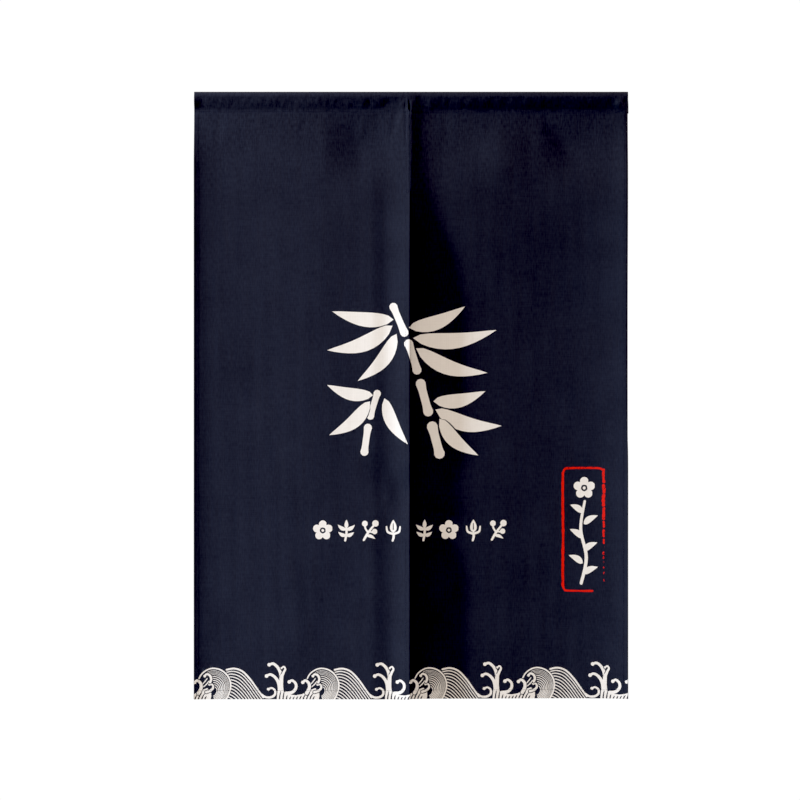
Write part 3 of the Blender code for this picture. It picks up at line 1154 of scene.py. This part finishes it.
    def film(self, face: Face, normals: Array, polygons: list, name: str) -> bpy.types.Object:
        """The thin layer of ink over some polygons of the face."""
        used = sorted({index for polygon in polygons for index in polygon})
        names = {index: place for place, index in enumerate(used)}
        points = face.points[used] + normals[used] * INK_TOP
        places = [face.places[index] for index in used]
        layer = make_mesh(name, points, [[names[index] for index in polygon] for polygon in polygons], places)
        thicken(layer, INK_THICK)
        layer.data.set_sharp_from_angle(angle=self.ink_edge)
        return layer


def make_mesh(name: str, points: Array, polygons: list, places: list | None = None) -> bpy.types.Object:
    """Make an object from points and polygons, with an own map of flat places in metres.

    Args:
        name: The object's name.
        points: Its points.
        polygons: Its polygons, as lists of point numbers.
        places: The flat place of each point, for the map named cloth.

    Returns:
        The object, shaded smooth.
    """
    mesh = bpy.data.meshes.new(name)
    mesh.from_pydata([tuple(map(float, point)) for point in points], [], polygons)
    if places is not None:
        flat = np.array(places, dtype=float)
        corners = np.empty(len(mesh.loops), dtype=int)
        mesh.loops.foreach_get("vertex_index", corners)
        mesh.uv_layers.new(name="cloth").data.foreach_set("uv", flat[corners].ravel())
    mesh.shade_smooth()
    made = bpy.data.objects.new(name, mesh)
    bpy.context.scene.collection.objects.link(made)
    return made


def thicken(item: bpy.types.Object, thickness: float, group: str = "") -> None:
    """Give an open sheet its thickness behind its face, and apply it."""
    solid = item.modifiers.new("thickness", "SOLIDIFY")
    solid.thickness = thickness
    solid.offset = -1.0
    solid.vertex_group = group
    bpy.ops.object.select_all(action="DESELECT")
    bpy.context.view_layer.objects.active = item
    item.select_set(True)
    bpy.ops.object.modifier_apply(modifier=solid.name)


@dataclass(frozen=True)
class Stitching:
    """Rows of stitches on one cloth, each stitch a small spindle of thread.

    The columns of rings are the place along a stitch and the share of its radius there.
    """

    sheet: ClothSheet
    length: float = 0.0026
    step: float = 0.0032
    radius: float = 0.00026
    sides: int = 5
    rings: tuple = ((-0.34, 0.86), (0.0, 1.0), (0.34, 0.86))
    sink: float = 0.00004
    hem_inset: float = 0.0078
    bottom_inset: float = 0.0172
    top_inset: float = 0.006
    end_inset: float = 0.004
    pocket_inset: float = 0.008
    pocket_drop: float = 0.0012
    seam_inset: float = 0.0030
    bar_ends: Point = (0.0070, 0.0008)
    bar_rise: float = 0.0015
    bar_step: float = 0.0007
    bar_rows: int = 4
    tiny: float = 0.0005

    def spindle(self) -> tuple[Array, list]:
        """Points and faces of one stitch, one unit long and one unit in radius, along its first axis."""
        points = [(-0.5, 0.0, 0.0)]
        for along, wide in self.rings:
            for side in range(self.sides):
                turn = 2.0 * math.pi * side / self.sides
                points.append((along, wide * math.cos(turn), wide * math.sin(turn)))
        points.append((0.5, 0.0, 0.0))
        faces = []
        last = 1 + (len(self.rings) - 1) * self.sides
        for side in range(self.sides):
            after = (side + 1) % self.sides
            faces.append((0, 1 + after, 1 + side))
            for low in range(1, last, self.sides):
                faces.append((low + side, low + after, low + self.sides + after, low + self.sides + side))
            faces.append((len(points) - 1, last + side, last + after))
        return np.array(points), faces

    def run(self, start: Point, end: Point, behind: bool,
            back_drop: float = 0.0) -> tuple[Array, Array, Array]:
        """Stitches along a straight line on the cloth.

        Args:
            start: First place, across and drop.
            end: Last place.
            behind: True for the stitches that show on the back.
            back_drop: Extra depth of the cloth behind the face there.

        Returns:
            Middles, directions along the run and outward directions of the stitches.
        """
        lay, tiny = self.sheet.lay_panel, self.tiny
        count = max(int(math.dist(start, end) / self.step), 1)
        shares = (np.arange(count) + 0.5) / count
        x = between(start[0], end[0], shares)
        drop = between(start[1], end[1], shares)
        spot = lay(x, drop)
        along = lay(x + (end[0] - start[0]) * tiny, drop + (end[1] - start[1]) * tiny) - spot
        outward = np.cross(lay(x + tiny, drop) - spot, lay(x, drop - tiny) - spot)
        outward /= np.linalg.norm(outward, axis=1)[:, None]
        along /= np.linalg.norm(along, axis=1)[:, None]
        if behind:
            depth = self.sheet.layers(x, drop) + back_drop
            spot = spot - outward * depth[:, None]
            outward = -outward
        return spot + outward * (self.radius - self.sink), along, outward

    def runs(self) -> list:
        """All the rows of stitches of the cloth, front and back."""
        sheet = self.sheet
        top, low = POCKET + self.top_inset, HEIGHT - self.bottom_inset
        lines = [((x, top), (x, HEIGHT - self.end_inset))
                 for x in (sheet.left + self.hem_inset, sheet.right - self.hem_inset)]
        lines.append(((sheet.left + self.end_inset, low), (sheet.right - self.end_inset, low)))
        made = [self.run(start, end, behind) for start, end in lines for behind in (False, True)]
        drop = POCKET + self.pocket_drop
        pocket = ((sheet.left + self.pocket_inset, drop), (sheet.right - self.pocket_inset, drop))
        made.append(self.run(*pocket, False))
        made.append(self.run(*pocket, True, sheet.pocket.tuck_space + CLOTH))
        if sheet.side is Side.LEFT:
            seam = SPLIT - self.seam_inset
            made.append(self.run((seam, top), (seam, SEAM), False))
            for row in range(self.bar_rows):
                drop = SEAM - self.bar_rise + self.bar_step * row
                start, end = ((SPLIT - inset, drop) for inset in self.bar_ends)
                made.append(self.run(start, end, False))
        return made

    def build(self) -> bpy.types.Object:
        """Make all the stitches of the cloth as one piece."""
        unit, faces = self.spindle()
        points, polygons = [], []
        for spots, alongs, outwards in self.runs():
            asides = np.cross(alongs, outwards)
            for spot, along, outward, aside in zip(spots, alongs, outwards, asides):
                first = len(points) * len(unit)
                points.append(spot + np.outer(unit[:, 0] * self.length, along)
                              + np.outer(unit[:, 1] * self.radius, outward)
                              + np.outer(unit[:, 2] * self.radius, aside))
                polygons += [tuple(first + index for index in face) for face in faces]
        return make_mesh(f"stitches_{self.sheet.side.value}", np.concatenate(points), polygons)


# Sockets of a Mix node that mixes colours, and the middle of every noise
MIX_FIRST, MIX_SECOND, MIX_RESULT = 6, 7, 2
NOISE_MIDDLE = 0.5


class Signal:
    """A socket of a material's nodes that works in Python sums and products."""

    def __init__(self, graph: "Graph", socket: bpy.types.NodeSocket) -> None:
        """Keep the socket and the graph it belongs to."""
        self.graph = graph
        self.socket = socket

    def __add__(self, other: "Signal | float") -> "Signal":
        """Sum."""
        return self.graph.maths("ADD", self, other)

    def __sub__(self, other: "Signal | float") -> "Signal":
        """Difference."""
        return self.graph.maths("SUBTRACT", self, other)

    def __rsub__(self, other: float) -> "Signal":
        """Difference from a number."""
        return self.graph.maths("SUBTRACT", other, self)

    def __mul__(self, other: "Signal | float") -> "Signal":
        """Product."""
        return self.graph.maths("MULTIPLY", self, other)

    __radd__ = __add__


@dataclass(frozen=True)
class Noise:
    """Noise over the cloth: its bumps for each metre across and along, and its detail."""

    across: float
    along: float
    detail: float


class Graph:
    """The nodes of one material."""

    def __init__(self, name: str) -> None:
        """Start a material with its own Principled surface."""
        self.material = bpy.data.materials.new(name)
        self.material.use_nodes = True
        self.tree = self.material.node_tree
        self.surface = self.tree.nodes["Principled BSDF"]

    def node(self, kind: str, settings: dict | None = None, inputs: dict | None = None,
             output: int | str = 0) -> Signal:
        """Add a node.

        Args:
            kind: Its type.
            settings: Its settings, which are set first.
            inputs: The values or links of its sockets, by name or number.
            output: Which output is wanted.

        Returns:
            That output.
        """
        made = self.tree.nodes.new(kind)
        for key, value in (settings or {}).items():
            setattr(made, key, value)
        for key, value in (inputs or {}).items():
            self.feed(made.inputs[key], value)
        return Signal(self, made.outputs[output])

    def feed(self, socket: bpy.types.NodeSocket, value: "Signal | float | tuple") -> None:
        """Link a signal to a socket, or set its value."""
        if isinstance(value, Signal):
            self.tree.links.new(value.socket, socket)
        else:
            socket.default_value = value

    def dress(self, inputs: dict) -> None:
        """Feed inputs of the surface by name."""
        for key, value in inputs.items():
            self.feed(self.surface.inputs[key], value)

    def maths(self, operation: str, *values: "Signal | float") -> Signal:
        """One Math node."""
        return self.node("ShaderNodeMath", {"operation": operation}, dict(enumerate(values)))

    def place(self) -> tuple[Signal, Signal]:
        """The flat place across and down the cloth, in metres."""
        flat = self.node("ShaderNodeUVMap", {"uv_map": "cloth"})
        split = self.node("ShaderNodeSeparateXYZ", None, {0: flat})
        return split, Signal(self, split.socket.node.outputs[1])

    def noise(self, place: tuple[Signal, Signal], kind: Noise) -> Signal:
        """Noise over the cloth with its own scale each way."""
        spot = self.node("ShaderNodeCombineXYZ", None, {0: place[0] * kind.across, 1: place[1] * kind.along})
        inputs = {"Vector": spot, "Scale": 1.0, "Detail": kind.detail}
        return self.node("ShaderNodeTexNoise", {"noise_dimensions": "2D"}, inputs)

    def solid_noise(self, scale: float, detail: float) -> Signal:
        """Noise through space, in the object's own metres."""
        spot = self.node("ShaderNodeTexCoord", None, None, "Object")
        return self.node("ShaderNodeTexNoise", None, {"Vector": spot, "Scale": scale, "Detail": detail})

    def sway(self, noise: Signal, weight: float) -> Signal:
        """The noise about zero, times a weight."""
        return (noise - NOISE_MIDDLE) * weight

    def blend(self, share: Signal, first: tuple | Signal, second: tuple | Signal) -> Signal:
        """Mix of two colours."""
        pair = [colour if isinstance(colour, Signal) else (*colour, 1.0) for colour in (first, second)]
        inputs = {0: share, MIX_FIRST: pair[0], MIX_SECOND: pair[1]}
        return self.node("ShaderNodeMix", {"data_type": "RGBA"}, inputs, MIX_RESULT)

    def clamp(self, value: Signal) -> Signal:
        """The value kept between 0 and 1."""
        return self.node("ShaderNodeClamp", None, {0: value})

    def weave(self, place: tuple[Signal, Signal], pitch: float, steep: float = 6.0) -> Signal:
        """Height of a plain weave: threads that pass over and under each other."""
        turn = math.pi / pitch
        warp, weft = (self.maths("SINE", way * turn) for way in place)
        over = self.clamp(warp * weft * steep + 0.5)
        return over * self.maths("ABSOLUTE", warp) + (1.0 - over) * self.maths("ABSOLUTE", weft)

    def bump(self, height: Signal, distance: float, strength: float) -> None:
        """Feed a height into the surface's normal."""
        inputs = {"Strength": strength, "Distance": distance, "Height": height}
        self.dress({"Normal": self.node("ShaderNodeBump", None, inputs)})


@dataclass(frozen=True, kw_only=True)
class WovenFinish:
    """What the cloth and the ink in it share: a plain weave with slubs down its length and uneven threads.

    Each tone is the weight of one kind of noise in the colour.
    """

    name: str
    middle: float
    slub_tone: float
    thread_tone: float
    cloud_tone: float
    clouds: Noise
    roughness: float
    roughness_sway: float
    specular: float
    bump_size: float
    bump_strength: float
    yarn: float = 0.00085
    slubs: Noise = Noise(430.0, 9.0, 3.0)
    threads: Noise = Noise(24.0, 620.0, 2.0)
    slub_height: float = 0.8
    thread_height: float = 0.4

    def colour(self, graph: Graph, place: tuple[Signal, Signal], tone: Signal) -> Signal:
        """The colour at each place, from its tone before it is clamped."""
        raise NotImplementedError

    def make(self) -> bpy.types.Material:
        """Build the material."""
        graph = Graph(self.name)
        place = graph.place()
        slub, thread, cloud = (graph.noise(place, kind) for kind in (self.slubs, self.threads, self.clouds))
        tone = (self.middle + graph.sway(slub, self.slub_tone) + graph.sway(thread, self.thread_tone)
                + graph.sway(cloud, self.cloud_tone))
        graph.dress({"Base Color": self.colour(graph, place, tone),
                     "Roughness": graph.clamp(self.roughness + graph.sway(slub, self.roughness_sway)),
                     "Specular IOR Level": self.specular})
        height = graph.weave(place, self.yarn) + slub * self.slub_height + thread * self.thread_height
        graph.bump(height, self.bump_size, self.bump_strength)
        return graph.material


@dataclass(frozen=True, kw_only=True)
class WovenNavy(WovenFinish):
    """Dull navy cloth with random tone, whose fine grain and blots grow up to twice as strong near the pocket
    as painted light and shade of its crumples.
    """

    name: str = "navy_cloth"
    deep: tuple = (0.0085, 0.0105, 0.0203)
    light: tuple = (0.0200, 0.0252, 0.0432)
    middle: float = 0.5
    slub_tone: float = 0.7
    thread_tone: float = 0.5
    cloud_tone: float = 0.5
    clouds: Noise = Noise(17.0, 12.0, 2.0)
    grain_tone: float = 0.48
    grain: Noise = Noise(480.0, 95.0, 0.0)
    blot_tone: float = 0.40
    blots: Noise = Noise(170.0, 130.0, 1.0)
    roughness: float = 0.9
    roughness_sway: float = 0.12
    specular: float = 0.7
    bump_size: float = 0.00012
    bump_strength: float = 0.6
    crumple_shade_start: float = 1.1
    crumple_shade_fall: float = 5.0

    def colour(self, graph: Graph, place: tuple[Signal, Signal], tone: Signal) -> Signal:
        """The navy, with its fine grain and blots, made stronger near the pocket as painted light and shade
        of the crumples.
        """
        grain, blot = (graph.noise(place, kind) for kind in (self.grain, self.blots))
        fine = graph.sway(grain, self.grain_tone) + graph.sway(blot, self.blot_tone)
        # Painted light and shade: the fine grain and blots grow up to twice as strong towards the pocket and
        # on it, standing in for the crumples' shading.
        crumple_shading = 1.0 + graph.clamp(self.crumple_shade_start - place[1] * self.crumple_shade_fall)
        return graph.blend(graph.clamp(tone + fine * crumple_shading), self.deep, self.light)


@dataclass(frozen=True, kw_only=True)
class PrintedInk(WovenFinish):
    """Ink that has soaked into the weave, a little uneven and worn down to its ground in specks."""

    fresh: tuple
    faded: tuple
    ground: tuple
    wear: float
    middle: float = 0.35
    slub_tone: float = 1.1
    thread_tone: float = 0.8
    cloud_tone: float = 0.7
    clouds: Noise = Noise(60.0, 50.0, 3.0)
    specks: Noise = Noise(900.0, 700.0, 2.0)
    speck_edge: float = 7.0
    roughness: float = 0.85
    roughness_sway: float = 0.1
    specular: float = 0.3
    bump_size: float = 0.00010
    bump_strength: float = 0.5

    def colour(self, graph: Graph, place: tuple[Signal, Signal], tone: Signal) -> Signal:
        """The ink, with its worn specks."""
        ink = graph.blend(graph.clamp(tone), self.fresh, self.faded)
        chipped = graph.clamp((graph.noise(place, self.specks) - (1.0 - self.wear)) * self.speck_edge)
        return graph.blend(chipped, ink, self.ground)


@dataclass(frozen=True)
class NavyThread:
    """Twisted sewing thread, a little smoother than the cloth."""

    name: str = "navy_thread"
    deep: tuple = (0.010, 0.011, 0.024)
    light: tuple = (0.030, 0.033, 0.058)
    twists: float = 2600.0
    detail: float = 1.0
    roughness: float = 0.55
    roughness_sway: float = 0.3
    bump_size: float = 0.00008
    bump_strength: float = 0.5

    def make(self) -> bpy.types.Material:
        """Build the material."""
        graph = Graph(self.name)
        twist = graph.solid_noise(self.twists, self.detail)
        graph.dress({"Base Color": graph.blend(twist, self.deep, self.light),
                     "Roughness": graph.clamp(self.roughness + graph.sway(twist, self.roughness_sway))})
        graph.bump(twist, self.bump_size, self.bump_strength)
        return graph.material


@dataclass(frozen=True)
class PaleFloor:
    """A plain pale floor with the faintest unevenness."""

    name: str = "pale_floor"
    pale: tuple = (0.68, 0.77, 0.82)
    paler: tuple = (0.72, 0.81, 0.86)
    clouds: float = 1.5
    detail: float = 2.0
    roughness: float = 0.8

    def make(self) -> bpy.types.Material:
        """Build the material."""
        graph = Graph(self.name)
        cloud = graph.solid_noise(self.clouds, self.detail)
        graph.dress({"Base Color": graph.blend(cloud, self.pale, self.paler), "Roughness": self.roughness})
        return graph.material


@dataclass
class Curtain:
    """The whole curtain: two cloths with their print and their stitches."""

    navy: WovenNavy = WovenNavy()
    cream: PrintedInk = PrintedInk(name="cream_ink", fresh=(0.920, 0.915, 0.848), faded=(0.848, 0.843, 0.775),
                                   ground=(0.46, 0.45, 0.43), wear=0.24)
    red: PrintedInk = PrintedInk(name="red_ink", fresh=(0.80, 0.037, 0.028), faded=(0.60, 0.032, 0.026),
                                 ground=(0.060, 0.020, 0.028), wear=0.36)
    thread: NavyThread = NavyThread()

    def sheets(self) -> tuple[ClothSheet, ClothSheet]:
        """The two cloths with what is printed on them."""
        middle = (BambooSprig(), OrnamentRow())
        left = ClothSheet(Side.LEFT, LEFT_EDGE, SPLIT, LEFT_DRAPE, (middle, (WaveBorder(left=-WIDTH / 2),)))
        right = ClothSheet(Side.RIGHT, SPLIT - LAP, RIGHT_EDGE, RIGHT_DRAPE,
                           (middle + (Cartouche(),), (WaveBorder(left=SPLIT),)))
        return left, right

    def build(self) -> None:
        """Make, dress and declare every piece."""
        looks = {"cloth": self.navy.make(), Ink.CREAM.value: self.cream.make(),
                 Ink.RED.value: self.red.make()}
        thread = self.thread.make()
        for sheet in self.sheets():
            made = sheet.build()
            stitches = Stitching(sheet).build()
            for kind, piece in made.items():
                piece.data.materials.append(looks[kind])
            stitches.data.materials.append(thread)
            cloth = made.pop("cloth")
            for piece in (cloth, *made.values(), stitches):
                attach(piece, "root")
                LOG.info("%s: %d polygons", piece.name, len(piece.data.polygons))
            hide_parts(f"panel_{sheet.side.value}", f"heading_{sheet.side.value}")


@dataclass(frozen=True)
class Lamp:
    """A round lamp that looks at a place from a direction."""

    name: str
    target: tuple
    azimuth: float
    elevation: float
    distance: float
    size: float
    power: float
    spread: float = 180.0
    tint: tuple = (0.872, 1.0, 1.231)

    def build(self) -> bpy.types.Object:
        """Make the lamp."""
        turn, lift = math.radians(self.azimuth), math.radians(self.elevation)
        aim = Vector(self.target)
        way = Vector((-math.sin(turn) * math.cos(lift), -math.cos(turn) * math.cos(lift), math.sin(lift)))
        light = bpy.data.lights.new(self.name, "AREA")
        light.shape = "DISK"
        light.size = self.size
        light.energy = self.power
        light.color = self.tint
        light.spread = math.radians(self.spread)
        made = bpy.data.objects.new(self.name, light)
        made.location = aim + way * self.distance
        made.rotation_euler = (-way).to_track_quat("-Z", "Y").to_euler()
        bpy.context.scene.collection.objects.link(made)
        return made


@dataclass
class Studio:
    """The camera, the lamps, the white room and the floor."""

    lens: float = 300.0
    sensor: float = 36.0
    ambient: float = 0.65
    ambient_tint: tuple = (1.20, 1.0, 0.895)
    backdrop: float = 1.02
    black: float = 0.030
    floor_drop: float = 2.0
    floor_size: tuple = (5.0, 6.0)
    floor_middle: float = -0.5
    lamps: tuple = (
        Lamp("key", (0.0, 0.0, -0.35), 68.0, 30.0, 2.3, 0.33, 34.6),
        Lamp("fill", (0.0, 0.0, -1.20), 68.0, 4.0, 2.3, 0.33, 2.05, 60.0),
    )

    def camera(self) -> None:
        """Place the camera straight in front, as in the photograph."""
        data = bpy.data.cameras.new("camera")
        data.lens = self.lens
        data.sensor_width = self.sensor
        data.clip_end = 100.0
        made = bpy.data.objects.new("camera", data)
        middle = FRAME_PIXELS / 2
        distance = FRAME_PIXELS * PIXEL / (self.sensor / self.lens)
        made.location = ((middle - MIDDLE_PIXEL) * PIXEL, -distance, (TOP_PIXEL - middle) * PIXEL)
        made.rotation_euler = (math.pi / 2, 0.0, 0.0)
        bpy.context.scene.collection.objects.link(made)
        bpy.context.scene.camera = made

    def room(self) -> None:
        """A room that looks white and lights the curtain softly from all round."""
        world = bpy.data.worlds.new("room")
        world.use_nodes = True
        bpy.context.scene.world = world
        tree = world.node_tree
        rays = tree.nodes.new("ShaderNodeLightPath")
        seen = tree.nodes.new("ShaderNodeMix")
        seen.data_type = "RGBA"
        tree.links.new(rays.outputs["Is Camera Ray"], seen.inputs[0])
        seen.inputs[MIX_FIRST].default_value = (*(self.ambient * share for share in self.ambient_tint), 1.0)
        seen.inputs[MIX_SECOND].default_value = (self.backdrop, self.backdrop, self.backdrop, 1.0)
        tree.links.new(seen.outputs[MIX_RESULT], tree.nodes["Background"].inputs["Color"])

    def tone(self) -> None:
        """Give the picture the photograph's deep blacks."""
        view = bpy.context.scene.view_settings
        view.view_transform = "Standard"
        view.use_curve_mapping = True
        view.curve_mapping.black_level = (self.black, self.black, self.black)
        view.curve_mapping.update()

    def floor(self) -> None:
        """A pale floor below the curtain."""
        bpy.ops.object.select_all(action="DESELECT")
        bpy.ops.mesh.primitive_plane_add(size=1.0)
        made = bpy.context.object
        made.name = "floor"
        stretch = Matrix.Diagonal((*self.floor_size, 1.0, 1.0))
        made.data.transform(Matrix.Translation((0.0, self.floor_middle, -self.floor_drop)) @ stretch)
        made.data.materials.append(PaleFloor().make())

    def build(self) -> None:
        """Make the whole studio."""
        self.camera()
        for lamp in self.lamps:
            lamp.build()
        self.room()
        self.tone()
        self.floor()


def main() -> None:
    """Build the studio and the curtain, and log each piece's polygon count."""
    logging.basicConfig(level=logging.INFO, format="%(name)s %(message)s")
    Studio().build()
    Curtain().build()


if __name__ == "__main__":
    main()
